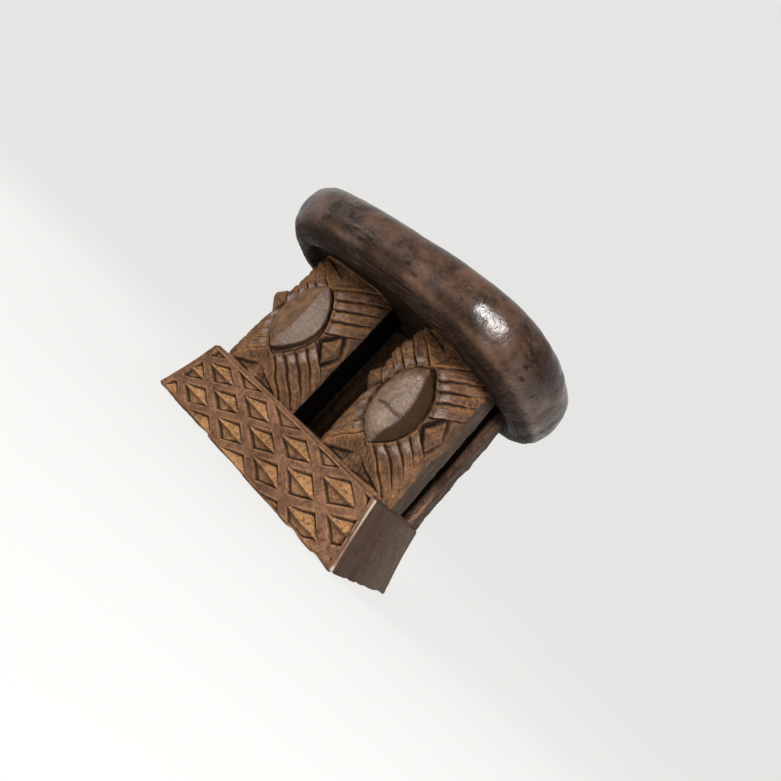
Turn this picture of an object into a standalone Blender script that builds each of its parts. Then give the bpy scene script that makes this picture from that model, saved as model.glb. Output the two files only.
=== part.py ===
"""Carved wooden headrest: an oval saddle top on four arched legs over a flared plinth.

Lengths are in metres. +Z is up, the plinth rests on z = 0, the long side runs along X
and the finest carved face looks along -Y. The origin is under the middle of the top.
Each carved member is one closed solid, with a hair gap where it meets its neighbour.
"""

import math

import bpy
import numpy as np

# Hair gap between members that meet
GAP = 0.0003

# Plinth: a block that spreads towards its foot
PLINTH_WIDTH = 0.1800
PLINTH_DEPTH = 0.0899
PLINTH_HEIGHT = 0.0440
PLINTH_SHIFT = -0.0037
END_BATTER = 0.0101
FACE_BATTER = 0.0036
FACE_HOLLOW = 0.0008
PLINTH_CORNER = 0.0010
WORN_EDGE = 0.0008

# Legs: flat outer sides, arched front and back faces, a gap each way between them
LEG_HEIGHT = 0.0925
LEG_LEAN = 0.0026
FRONT_LEDGE = 0.0022
BACK_LEDGE = 0.0004
FRONT_ARCH = 0.0196
BACK_ARCH = 0.0045
ARCH_POWER = 2.5
MIDDLE_GAP = 0.0316
MIDDLE_GAP_SHIFT = 0.0042
SIDE_GAP = 0.0242
BACK_LEG_SIDE = 0.0100

# Bosses: one almond on each leg's arched face, a little aside of and above its middle
BOSS_LENGTH = 0.0530
BOSS_WIDTH = 0.0270
BOSS_WALL = 0.0024
BOSS_DOME = 0.0046
BOSS_OFFSETS = {
    "front_left": (-0.0005, 0.0020),
    "front_right": (0.0012, -0.0015),
    "back_left": (-0.0010, 0.0005),
    "back_right": (0.0010, -0.0005),
}

# Top: an oval slab with a flat field under it, a low cove, and a thick rounded rim
PLAN_POWER = 2.75
FIELD_PAST_LEG_ENDS = 0.0035
FIELD_PAST_LEG_FACES = 0.0295
COVE_WIDTH = 0.0060
RIM_UNDERCUT = 0.0184
RIM_LIFT = 0.0161
RIM_ABOVE = 0.0122
RIM_ABOVE_INSET = 0.0106
RIM_BELOW = 0.0211
SADDLE_RISE = 0.0056
SADDLE_SAG = 0.0062
DISH = 0.0030
TOP_TILT = 0.0266

# Fineness of the faceted surfaces
PLAN_STEPS = 96
RIM_STEPS = 7
COVE_STEPS = 4
ARCH_STEPS = 28
CORNER_STEPS = 5
BOSS_STEPS = 18

# Heights and outlines that follow from the sizes above
LEG_FOOT = PLINTH_HEIGHT + GAP
LEG_TOP = LEG_FOOT + LEG_HEIGHT
UNDERSIDE = LEG_TOP + GAP
PLINTH_TOP_HALF_WIDTH = PLINTH_WIDTH / 2 - END_BATTER
PLINTH_TOP_HALF_DEPTH = PLINTH_DEPTH / 2 - FACE_BATTER
LEG_OUTSIDE = PLINTH_TOP_HALF_WIDTH - WORN_EDGE
FRONT_APEX = PLINTH_SHIFT - PLINTH_TOP_HALF_DEPTH + FRONT_LEDGE
BACK_APEX = PLINTH_SHIFT + PLINTH_TOP_HALF_DEPTH - BACK_LEDGE
BACK_WALL = BACK_APEX - BACK_ARCH - BACK_LEG_SIDE
FRONT_WALL = BACK_WALL - SIDE_GAP
FIELD_HALF_LENGTH = LEG_OUTSIDE - LEG_LEAN + FIELD_PAST_LEG_ENDS
FIELD_HALF_DEPTH = max(-FRONT_APEX, BACK_APEX) + FIELD_PAST_LEG_FACES
FOOT_HALF_LENGTH = FIELD_HALF_LENGTH + COVE_WIDTH
FOOT_HALF_DEPTH = FIELD_HALF_DEPTH + COVE_WIDTH
TOP_HALF_LENGTH = FOOT_HALF_LENGTH + RIM_UNDERCUT
TOP_HALF_DEPTH = FOOT_HALF_DEPTH + RIM_UNDERCUT
WIDEST_LINE = UNDERSIDE + RIM_LIFT


def wood(name, colour, roughness):
    """One plain finish: base colour and roughness of a Principled surface."""
    material = bpy.data.materials.new(name)
    material.use_nodes = True
    surface = material.node_tree.nodes["Principled BSDF"]
    surface.inputs["Base Color"].default_value = (*colour, 1.0)
    surface.inputs["Roughness"].default_value = roughness
    surface.inputs["Metallic"].default_value = 0.0
    return material


def dark_patina_wood():
    """Dark brown wood, polished by handling."""
    return wood("dark_patina_wood", (0.060, 0.032, 0.020), 0.38)


def carved_brown_wood():
    """Mid-brown wood with crisp tool cuts."""
    return wood("carved_brown_wood", (0.155, 0.082, 0.045), 0.62)


def rubbed_boss_wood():
    """Grey-brown wood of the raised bosses, rubbed smooth."""
    return wood("rubbed_boss_wood", (0.130, 0.088, 0.062), 0.42)


def lofted(name, rings, material, crease=40.0):
    """A closed solid through closed rings, each end closed by a fan to its middle point.

    rings has the shape (rings, points, 3). Each ring runs anticlockwise seen from the end.
    """
    rings = np.asarray(rings, dtype=float)
    count, points = rings.shape[:2]
    here = np.arange(points)
    after = (here + 1) % points
    faces = []
    for level in range(count - 1):
        low = level * points
        high = low + points
        walls = np.stack([low + here, low + after, high + after, high + here], axis=1)
        faces.extend(walls.tolist())
    first_middle = count * points
    last_middle = first_middle + 1
    last = (count - 1) * points
    first_fan = np.stack([here * 0 + first_middle, after, here], axis=1)
    last_fan = np.stack([here * 0 + last_middle, last + here, last + after], axis=1)
    faces.extend(first_fan.tolist())
    faces.extend(last_fan.tolist())
    middles = np.stack([rings[0].mean(axis=0), rings[-1].mean(axis=0)])
    vertices = np.concatenate([rings.reshape(-1, 3), middles])
    mesh = bpy.data.meshes.new(name)
    mesh.from_pydata(vertices.tolist(), [], faces)
    mesh.shade_smooth()
    mesh.set_sharp_from_angle(angle=math.radians(crease))
    mesh.materials.append(material)
    solid = bpy.data.objects.new(name, mesh)
    bpy.context.scene.collection.objects.link(solid)
    return solid


def rounded_rectangle(half_width, half_depth, radius):
    """Corners of a rectangle as quarter circles, anticlockwise from the right end."""
    turns = np.linspace(0.0, math.pi / 2, CORNER_STEPS)
    corners = []
    for quarter in range(4):
        angle = turns + quarter * math.pi / 2
        side_x = 1.0 if quarter in (0, 3) else -1.0
        side_y = 1.0 if quarter in (0, 1) else -1.0
        x = side_x * (half_width - radius) + radius * np.cos(angle)
        y = side_y * (half_depth - radius) + radius * np.sin(angle)
        corners.append(np.stack([x, y], axis=1))
    return np.concatenate(corners)


def plinth_ring(height, inset):
    """Outline of the plinth at one height: leaning walls, hollowed between foot and top."""
    share = height / PLINTH_HEIGHT
    hollow = FACE_HOLLOW * math.sin(math.pi * share)
    half_width = PLINTH_WIDTH / 2 - END_BATTER * share - hollow - inset
    half_depth = PLINTH_DEPTH / 2 - FACE_BATTER * share - hollow - inset
    outline = rounded_rectangle(half_width, half_depth, PLINTH_CORNER)
    z = np.full(len(outline), height)
    return np.column_stack([outline[:, 0], outline[:, 1] + PLINTH_SHIFT, z])


def make_plinth(material):
    """The flared block that the headrest stands on."""
    rings = [plinth_ring(0.0, WORN_EDGE)]
    wall_heights = np.linspace(WORN_EDGE, PLINTH_HEIGHT - WORN_EDGE, 7)
    rings.extend(plinth_ring(height, 0.0) for height in wall_heights)
    for turn in np.linspace(0.0, math.pi / 2, 4)[1:]:
        height = PLINTH_HEIGHT - WORN_EDGE * (1 - math.sin(turn))
        rings.append(plinth_ring(height, WORN_EDGE * (1 - math.cos(turn))))
    return lofted("plinth", rings, material)


def leg_sides(side, lean):
    """Lowest and highest x of the leg on that side, at one lean of its outer side."""
    inside = MIDDLE_GAP_SHIFT + side * MIDDLE_GAP / 2
    outside = side * (LEG_OUTSIDE - lean)
    return sorted((inside, outside))


def arched_face(x, side, face, lean):
    """How far back or forward the arched face lies at each x: a superellipse across the leg."""
    low, high = leg_sides(side, lean)
    apex = FRONT_APEX if face < 0 else BACK_APEX
    rise = FRONT_ARCH if face < 0 else BACK_ARCH
    share = np.clip(np.abs(2 * x - low - high) / (high - low), 0.0, 1.0)
    return apex - face * rise * (1 - (1 - share**ARCH_POWER) ** (1 / ARCH_POWER))


def leg_ring(side, face, height):
    """Outline of one leg: an arched outer face, and a flat wall on the gap inside."""
    lean = LEG_LEAN * (height - LEG_FOOT) / LEG_HEIGHT
    low, high = leg_sides(side, lean)
    turned = np.cos(np.linspace(0.0, math.pi, ARCH_STEPS + 1))
    spread = np.sign(turned) * np.abs(turned) ** (2 / ARCH_POWER)
    x = (low + high) / 2 + face * spread * (high - low) / 2
    y = arched_face(x, side, face, lean)
    wall = FRONT_WALL if face < 0 else BACK_WALL
    x = np.concatenate([x, [x[-1], x[0]]])
    y = np.concatenate([y, [wall, wall]])
    return np.column_stack([x, y, np.full(len(x), height)])


def make_leg(name, side, face, material):
    """One of the four legs, standing on the plinth and reaching the underside."""
    heights = np.linspace(LEG_FOOT, LEG_TOP, 4)
    rings = [leg_ring(side, face, height) for height in heights]
    return lofted(name, rings, material)


def boss_ring(side, face, offset, share):
    """Level outline of a boss: its back follows the leg's face, its front is walled and domed."""
    aside, above = offset
    z = LEG_FOOT + LEG_HEIGHT / 2 + above + share * BOSS_LENGTH / 2
    lean = LEG_LEAN * (z - LEG_FOOT) / LEG_HEIGHT
    low, high = leg_sides(side, lean)
    narrowing = 1 - share * share
    turns = np.linspace(0.0, math.pi, BOSS_STEPS + 1)
    across = face * BOSS_WIDTH / 2 * narrowing * np.cos(turns)
    x = (low + high) / 2 + aside + across
    back = arched_face(x, side, face, lean) + face * GAP
    thickness = BOSS_WALL * math.sqrt(narrowing) + BOSS_DOME * narrowing * np.sin(turns)
    x = np.concatenate([x, x[::-1]])
    y = np.concatenate([back + face * thickness, back[::-1]])
    return np.column_stack([x, y, np.full(len(x), z)])


def make_boss(name, side, face, offset, material):
    """The raised almond near the middle of one leg's arched face."""
    shares = np.sin(np.linspace(-1.0, 1.0, 21) * math.radians(82))
    rings = [boss_ring(side, face, offset, share) for share in shares]
    return lofted(name, rings, material, crease=50.0)


def oval(half_length, half_depth):
    """A superellipse around the middle of the top, anticlockwise."""
    turns = np.linspace(0.0, 2 * math.pi, PLAN_STEPS, endpoint=False)
    power = 2 / PLAN_POWER
    x = half_length * np.sign(np.cos(turns)) * np.abs(np.cos(turns)) ** power
    y = half_depth * np.sign(np.sin(turns)) * np.abs(np.sin(turns)) ** power
    return x, y


def bent(x, y, bend):
    """How far a ring lies above level: bend along X times the square of x, plus the tilt."""
    return bend * (x / TOP_HALF_LENGTH) ** 2 + TOP_TILT * y


def underside_rings():
    """The flat field that the legs carry, and the cove that falls from it to the rim."""
    rings = []
    for share in (0.25, 0.6, 1.0):
        x, y = oval(FIELD_HALF_LENGTH * share, FIELD_HALF_DEPTH * share)
        rings.append(np.column_stack([x, y, np.full(PLAN_STEPS, UNDERSIDE)]))
    for step in range(1, COVE_STEPS):
        share = step / COVE_STEPS
        x, y = oval(FIELD_HALF_LENGTH + share * COVE_WIDTH, FIELD_HALF_DEPTH + share * COVE_WIDTH)
        foot = WIDEST_LINE - RIM_BELOW + bent(x, y, -SADDLE_SAG)
        fall = (1 - math.cos(math.pi * share)) / 2
        rings.append(np.column_stack([x, y, UNDERSIDE + (foot - UNDERSIDE) * fall]))
    return rings


def rim_ring(inset, height, bend):
    """Outline of the rim at one inset from its widest line."""
    x, y = oval(TOP_HALF_LENGTH - inset, TOP_HALF_DEPTH - inset)
    return np.column_stack([x, y, WIDEST_LINE + height + bent(x, y, bend)])


def upper_ring(share):
    """Outline of the upper side at a share of its edge, dished towards the middle."""
    half_length = (TOP_HALF_LENGTH - RIM_ABOVE_INSET) * share
    half_depth = (TOP_HALF_DEPTH - RIM_ABOVE_INSET) * share
    x, y = oval(half_length, half_depth)
    z = WIDEST_LINE + RIM_ABOVE + bent(x, y, SADDLE_RISE) - DISH * (1 - share * share)
    return np.column_stack([x, y, z])


def make_top(material):
    """The slab that carries the head: coved underside, round rim, saddle-shaped upper side."""
    rings = underside_rings()
    turns = np.linspace(0.0, math.pi / 2, RIM_STEPS)
    for turn in turns[::-1]:
        inset = RIM_UNDERCUT * (1 - math.cos(turn))
        rings.append(rim_ring(inset, -RIM_BELOW * math.sin(turn), -SADDLE_SAG * math.sin(turn)))
    for turn in turns[1:]:
        inset = RIM_ABOVE_INSET * (1 - math.cos(turn))
        rings.append(rim_ring(inset, RIM_ABOVE * math.sin(turn), SADDLE_RISE * math.sin(turn)))
    rings.extend(upper_ring(share) for share in (0.82, 0.6, 0.35, 0.1))
    return lofted("top", rings, material)


def make_headrest():
    """Every member in its place."""
    patina = dark_patina_wood()
    carved = carved_brown_wood()
    rubbed = rubbed_boss_wood()
    make_plinth(carved)
    corners = {
        "front_left": (-1, -1),
        "front_right": (1, -1),
        "back_left": (-1, 1),
        "back_right": (1, 1),
    }
    for place, (side, face) in corners.items():
        make_leg(f"{place}_leg", side, face, carved)
        make_boss(f"{place}_boss", side, face, BOSS_OFFSETS[place], rubbed)
    make_top(patina)


for thing in list(bpy.data.objects):
    bpy.data.objects.remove(thing, do_unlink=True)
make_headrest()
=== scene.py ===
import math

import bpy
import numpy as np
from mathutils import Matrix, Vector


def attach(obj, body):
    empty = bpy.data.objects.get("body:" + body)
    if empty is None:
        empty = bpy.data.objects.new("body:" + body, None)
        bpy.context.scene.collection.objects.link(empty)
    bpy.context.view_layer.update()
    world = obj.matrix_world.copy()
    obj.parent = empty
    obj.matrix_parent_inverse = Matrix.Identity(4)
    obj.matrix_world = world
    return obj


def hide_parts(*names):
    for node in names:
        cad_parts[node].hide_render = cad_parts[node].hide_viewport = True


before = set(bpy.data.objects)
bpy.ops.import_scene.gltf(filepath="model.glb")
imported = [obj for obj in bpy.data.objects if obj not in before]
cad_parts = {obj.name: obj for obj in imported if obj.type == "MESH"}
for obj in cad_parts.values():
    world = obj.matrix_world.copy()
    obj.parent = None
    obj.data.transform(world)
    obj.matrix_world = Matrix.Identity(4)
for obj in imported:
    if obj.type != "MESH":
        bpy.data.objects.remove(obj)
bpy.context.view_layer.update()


# ---------------------------------------------------------------- plinth
# The block that the headrest stands on, hewn from the same log as everything above it. It
# flares towards its foot. Its two long faces are chip-carved with a lattice of flat straps
# round sunken diamonds, each with a low hip from side to side; its two ends are left plain.
PLINTH_HALF_WIDTH = 0.0900
PLINTH_HALF_DEPTH = 0.04495
PLINTH_HEIGHT = 0.0440
PLINTH_SHIFT = -0.0037
PLINTH_END_BATTER = 0.0101
PLINTH_FACE_BATTER = 0.0036
PLINTH_FACE_HOLLOW = 0.0008
PLINTH_CORNER_ROUND = 0.0026
PLINTH_RIM_ROUND = 0.0016
PLINTH_RIM_REACH = 0.0020
PLINTH_SIDE_STEPS = 60
PLINTH_FACE_STEPS = 400
PLINTH_RISE_STEPS = 100
LATTICE_PITCH = 39.2
LATTICE_ROW = 10.1
LATTICE_ROW_SPREAD = 0.26
LATTICE_FIRST = (21.2, 32.1)
LATTICE_SLANT = 0.10
LATTICE_END_MARGINS = (3.0, 6.0)
LATTICE_TOP_LINE = 41.6
STRAP_HALF_SHARE = 0.128
STRAP_SPACING = 17.5
DIAMOND_DEPTH = 2.9
DIAMOND_WALL_SLOPE = 3.2
HIP_DEPTH = 0.25
HIP_REACH = 7.2
PALE_GRAIN = (0.24, 0.19, 0.15)
CRACK_DIRT = (0.020, 0.011, 0.007)
# Painted light: dark brown shade for hollows, a near-white glint, near-black shade in gaps.
HOLLOW_SHADE = (0.018, 0.009, 0.005)
CORNER_GLINT_PALE = (0.52, 0.47, 0.42)
GAP_SHADE_BLACK = (0.0012, 0.0009, 0.0008)


def ease(value, start, end):
    """0 before start, 1 after end, and 3t²−2t³ between."""
    share = np.clip((value - start) / (end - start), 0.0, 1.0)
    return share * share * (3 - 2 * share)


def drift(points, size, seed):
    """Smooth random field from −1 to 1: random values on a cubic lattice of the given cell,
    mixed between the eight nearest by 3t²−2t³."""
    table = np.random.default_rng(seed).random((16, 16, 16)) * 2 - 1
    cell = points / size
    base = np.floor(cell).astype(int)
    part = cell - base
    part = part * part * (3 - 2 * part)
    total = np.zeros(points.shape[:-1])
    for corner in ((a, b, c) for a in (0, 1) for b in (0, 1) for c in (0, 1)):
        weight = np.prod(np.where(corner, part, 1 - part), axis=-1)
        place = (base + corner) % 16
        total += weight * table[place[..., 0], place[..., 1], place[..., 2]]
    return total


def outward(rings):
    """Unit normals of rings[height, around]: the way round crossed with the way up."""
    around = np.roll(rings, -1, axis=1) - np.roll(rings, 1, axis=1)
    normal = np.cross(around, np.gradient(rings, axis=0))
    return normal / np.maximum(np.linalg.norm(normal, axis=-1, keepdims=True), 1e-12)


def softened(grid, reach):
    """Each value averaged with its neighbours within reach steps, round the loop and upwards."""
    steps = range(-reach, reach + 1)
    level = sum(np.roll(grid, step, axis=1) for step in steps) / len(steps)
    padded = np.pad(level, ((reach, reach), (0, 0)), mode="edge")
    return sum(padded[reach + step:reach + step + len(grid)] for step in steps) / len(steps)


def closed_surface(name, rings, marks, material):
    """One closed body through rings[height, around]: quads between neighbours, and each end
    closed by a fan to its middle. marks are named numbers kept on the points."""
    count, points = rings.shape[:2]
    here = np.arange(points)
    after = (here + 1) % points
    low = np.arange(count - 1)[:, None] * points
    corners = (low + here, low + after, low + points + after, low + points + here)
    walls = np.stack(corners, axis=-1).reshape(-1, 4)
    last = (count - 1) * points
    first_fan = np.stack([here * 0 + count * points, after, here], axis=1)
    last_fan = np.stack([here * 0 + count * points + 1, last + here, last + after], axis=1)
    middles = np.stack([rings[0].mean(axis=0), rings[-1].mean(axis=0)])
    vertices = np.concatenate([rings.reshape(-1, 3), middles])
    mesh = bpy.data.meshes.new(name)
    faces = walls.tolist() + first_fan.tolist() + last_fan.tolist()
    mesh.from_pydata(vertices.tolist(), [], faces)
    for mark, values in marks.items():
        ends = [values[0].mean(), values[-1].mean()]
        kept = mesh.attributes.new(mark, "FLOAT", "POINT")
        kept.data.foreach_set("value", np.concatenate([values.ravel(), ends]).astype(np.float32))
    mesh.shade_smooth()
    mesh.materials.append(material)
    piece = bpy.data.objects.new(name, mesh)
    bpy.context.scene.collection.objects.link(piece)
    return piece


def add(tree, kind, inputs, **settings):
    """A node with its settings, its inputs set to a value or linked to a socket."""
    node = tree.nodes.new(kind)
    for key, value in settings.items():
        setattr(node, key, value)
    for key, value in inputs.items():
        if isinstance(value, bpy.types.NodeSocket):
            tree.links.new(value, node.inputs[key])
        else:
            node.inputs[key].default_value = value
    return node


def blend(tree, share, first, second, how="MIX"):
    """Colour between first and second by share."""
    inputs = {0: share}
    inputs[6] = first if isinstance(first, bpy.types.NodeSocket) else (*first, 1.0)
    inputs[7] = second if isinstance(second, bpy.types.NodeSocket) else (*second, 1.0)
    return add(tree, "ShaderNodeMix", inputs, data_type="RGBA", blend_type=how).outputs[2]


def between(tree, value, start, end, low=0.0, high=1.0):
    """value carried from start..end to low..high, held at both ends."""
    inputs = {0: value, 1: start, 2: end, 3: low, 4: high}
    return add(tree, "ShaderNodeMapRange", inputs).outputs[0]


def times(tree, first, second):
    """The product of two numbers."""
    return add(tree, "ShaderNodeMath", {0: first, 1: second}, operation="MULTIPLY").outputs[0]


def mottle(tree, place, scale, detail=4.0, roughness=0.55):
    """Cloudy noise at a scale, from 0 to 1."""
    inputs = {"Vector": place, "Scale": scale, "Detail": detail, "Roughness": roughness}
    return add(tree, "ShaderNodeTexNoise", inputs).outputs["Fac"]


def veins(tree, place, scale, width):
    """Thin wandering lines where a cloudy noise crosses its middle value."""
    noise = mottle(tree, place, scale, 5.0, 0.62)
    off = add(tree, "ShaderNodeMath", {0: noise, 1: 0.5}, operation="SUBTRACT").outputs[0]
    off = add(tree, "ShaderNodeMath", {0: off}, operation="ABSOLUTE").outputs[0]
    return between(tree, off, 0.0, width, 1.0, 0.0)


def mark(tree, name):
    """A number kept on the points of the surface."""
    return add(tree, "ShaderNodeAttribute", {}, attribute_name=name).outputs["Fac"]


def scaled(colour, share):
    """A colour with each part times share."""
    return tuple(share * part for part in colour)


def carved_wood(name, body, shade, cut, plain, plain_grey, rub):
    """Chip-carved wood: body colour mottled with a darker shade at random; cut facets paler,
    partly fresh wood and partly painted highlight where they face the light; plain sides with
    upright grain going grey; edges and flats rubbed by hands, proud edges paler by wear and
    painted highlight; a painted glint, near white, along one corner; nicks and checks; painted
    shade in the hollows; and painted shade, near black, on the walls inside the gaps."""
    material = bpy.data.materials.new(name)
    material.use_nodes = True
    tree = material.node_tree
    surface = tree.nodes["Principled BSDF"]
    place = add(tree, "ShaderNodeTexCoord", {}).outputs["Object"]
    upright = {"Vector": place, "Scale": (1.0, 1.0, 0.07)}
    along = add(tree, "ShaderNodeMapping", upright).outputs[0]
    clouds = mottle(tree, place, 55.0, 5.0, 0.6)
    specks = mottle(tree, place, 720.0, 4.0, 0.75)
    grain = mottle(tree, along, 900.0, 5.0, 0.65)
    streaks = mottle(tree, along, 190.0, 4.0, 0.6)
    patches = mottle(tree, place, 28.0, 3.0, 0.5)
    grit = mottle(tree, place, 260.0, 5.0, 0.65)

    colour = blend(tree, between(tree, clouds, 0.35, 0.65), body, shade)
    colour = blend(tree, times(tree, between(tree, grit, 0.50, 0.62), 0.80), colour, shade)
    colour = blend(tree, times(tree, between(tree, grit, 0.50, 0.34), 0.35), colour, rub)
    # Paler colour for cut facets: fresh wood, and painted highlight where they face the light.
    fresh_and_lit = blend(tree, between(tree, clouds, 0.4, 0.68), cut, scaled(cut, 0.62))
    fresh_and_lit = blend(tree, between(tree, grit, 0.48, 0.68), fresh_and_lit, scaled(cut, 0.50))
    colour = blend(tree, mark(tree, "cut"), colour, fresh_and_lit)
    end = blend(tree, between(tree, streaks, 0.38, 0.62), plain, scaled(plain, 0.55))
    end = blend(tree, mark(tree, "grey"), end, plain_grey)
    colour = blend(tree, mark(tree, "plain"), colour, end)
    pale = between(tree, grain, 0.5, 0.68)
    lines = times(tree, mark(tree, "plain"), times(tree, pale, mark(tree, "grey")))
    colour = blend(tree, times(tree, lines, 0.5), colour, PALE_GRAIN)
    rubbed = times(tree, mark(tree, "rubbed"), between(tree, patches, 0.36, 0.6, 0.35, 1.0))
    colour = blend(tree, rubbed, colour, rub)
    # Paler proud edges: partly wear, partly painted highlight.
    wear_and_highlight = times(tree, mark(tree, "wear_and_highlight"), between(tree, specks, 0.38, 0.6, 0.25, 1.0))
    colour = blend(tree, times(tree, wear_and_highlight, 0.62), colour, scaled(cut, 1.35))
    dust = times(tree, between(tree, specks, 0.48, 0.60), 0.72)
    colour = blend(tree, dust, colour, scaled(body, 0.45))
    nicks = times(tree, veins(tree, place, 85.0, 0.016), between(tree, patches, 0.40, 0.54))
    checks = times(tree, veins(tree, along, 210.0, 0.016), between(tree, clouds, 0.42, 0.56))
    colour = blend(tree, times(tree, nicks, 0.85), colour, CRACK_DIRT)
    colour = blend(tree, times(tree, checks, 0.60), colour, CRACK_DIRT)
    # Painted shade, dark brown, in creases and hollows.
    colour = blend(tree, mark(tree, "hollow"), colour, HOLLOW_SHADE)
    # Painted glint, near white, along one corner.
    colour = blend(tree, mark(tree, "corner_glint"), colour, CORNER_GLINT_PALE)
    # Painted shade, near black, on the walls inside the gaps.
    colour = blend(tree, mark(tree, "gap_shade"), colour, GAP_SHADE_BLACK)
    tree.links.new(colour, surface.inputs["Base Color"])

    dull = {0: between(tree, mark(tree, "rubbed"), 0.0, 1.0, 0.70, 0.34), 1: times(tree, wear_and_highlight, 0.22)}
    dull = add(tree, "ShaderNodeMath", dull, operation="SUBTRACT").outputs[0]
    tree.links.new(between(tree, dull, 0.0, 1.0), surface.inputs["Roughness"])
    # No shine where the near-black painted shade lies.
    not_in_gap_shade = between(tree, mark(tree, "gap_shade"), 0.0, 1.0, 1.0, 0.0)
    shine = times(tree, between(tree, rubbed, 0.0, 1.0, 0.14, 0.70), not_in_gap_shade)
    tree.links.new(shine, surface.inputs["Specular IOR Level"])
    rough = add(tree, "ShaderNodeMath", {0: grain, 1: specks}, operation="ADD").outputs[0]
    fine = add(tree, "ShaderNodeBump", {"Height": rough, "Strength": 0.9, "Distance": 0.00065})
    broad = {"Height": grit, "Strength": 0.8, "Distance": 0.0025, "Normal": fine.outputs[0]}
    tree.links.new(add(tree, "ShaderNodeBump", broad).outputs[0], surface.inputs["Normal"])
    return material


def lattice(x, z, edge):
    """Depth of the lattice in millimetres, how far a point is inside a diamond, and how far
    above its middle. a and b count strap spacings along the two slants; a diamond is where both
    stay off the half-way lines. Its floor falls from a hip across its middle by 1 less a power
    of (1−reach): gently above the hip, steeply at first below it."""
    spread = 1 + LATTICE_ROW_SPREAD * ease(x, 10.0, 60.0)
    down = (z - LATTICE_FIRST[1]) / spread
    over = x - LATTICE_FIRST[0] - LATTICE_SLANT * down
    a = over / LATTICE_PITCH + down / (2 * LATTICE_ROW)
    b = over / LATTICE_PITCH - down / (2 * LATTICE_ROW)
    a = a - np.round(a)
    b = b - np.round(b)
    nearest = np.maximum(np.abs(a), np.abs(b))
    off_slant = STRAP_SPACING * spread * (0.5 - STRAP_HALF_SHARE - nearest)
    inside = np.minimum(off_slant, edge)
    from_hip = np.abs(a - b) * LATTICE_ROW * spread
    reach = np.clip(from_hip / (HIP_REACH * spread), 0.0, 1.0)
    hollow = np.where(a > b, 1 - (1 - reach) ** 1.5, 1 - (1 - reach) ** 3.4)
    floor = HIP_DEPTH + (DIAMOND_DEPTH - HIP_DEPTH) * hollow
    depth = np.minimum(np.clip(inside, 0.0, None) * DIAMOND_WALL_SLOPE, floor)
    return depth, inside, a - b


def plinth_rings():
    """Loops of a rounded rectangle from foot to top: each side leans in by its batter and is
    hollowed by a half sine, and the corners and both rims are worn round."""
    face = np.linspace(-1.0, 1.0, PLINTH_FACE_STEPS, endpoint=False)
    side = np.linspace(-1.0, 1.0, PLINTH_SIDE_STEPS, endpoint=False)
    across = np.concatenate([face, side * 0 + 1, -face, side * 0 - 1])
    deep = np.concatenate([face * 0 - 1, side, face * 0 + 1, -side])
    rise = np.linspace(0.0, 1.0, PLINTH_RISE_STEPS)
    share = (0.5 - 0.5 * np.cos(math.pi * rise)) * 0.25 + rise * 0.75
    height = share[:, None] * PLINTH_HEIGHT
    hollow = PLINTH_FACE_HOLLOW * np.sin(math.pi * share)[:, None]
    from_rim = np.minimum(height, (PLINTH_HEIGHT - height) * 0.75)
    round_off = PLINTH_RIM_ROUND * (1 - ease(from_rim, 0.0, PLINTH_RIM_REACH)) ** 2
    half_width = PLINTH_HALF_WIDTH - PLINTH_END_BATTER * share[:, None] - hollow - round_off
    half_depth = PLINTH_HALF_DEPTH - PLINTH_FACE_BATTER * share[:, None] - hollow - round_off
    x = across * half_width
    y = deep * half_depth
    corner = PLINTH_CORNER_ROUND
    sides = ((x, y, half_width, half_depth), (y, x, half_depth, half_width))
    for axis, other, half, limit in sides:
        near = np.clip(np.abs(other) - (limit - corner), 0.0, corner)
        pulled = corner - np.sqrt(np.maximum(corner**2 - near**2, 0.0))
        on_edge = np.abs(np.abs(axis) - half) < 1e-9
        axis -= np.where(on_edge, np.sign(axis) * pulled, 0.0)
    z = np.broadcast_to(height, x.shape)
    return np.stack([x, y + PLINTH_SHIFT, z], axis=-1)


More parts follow.
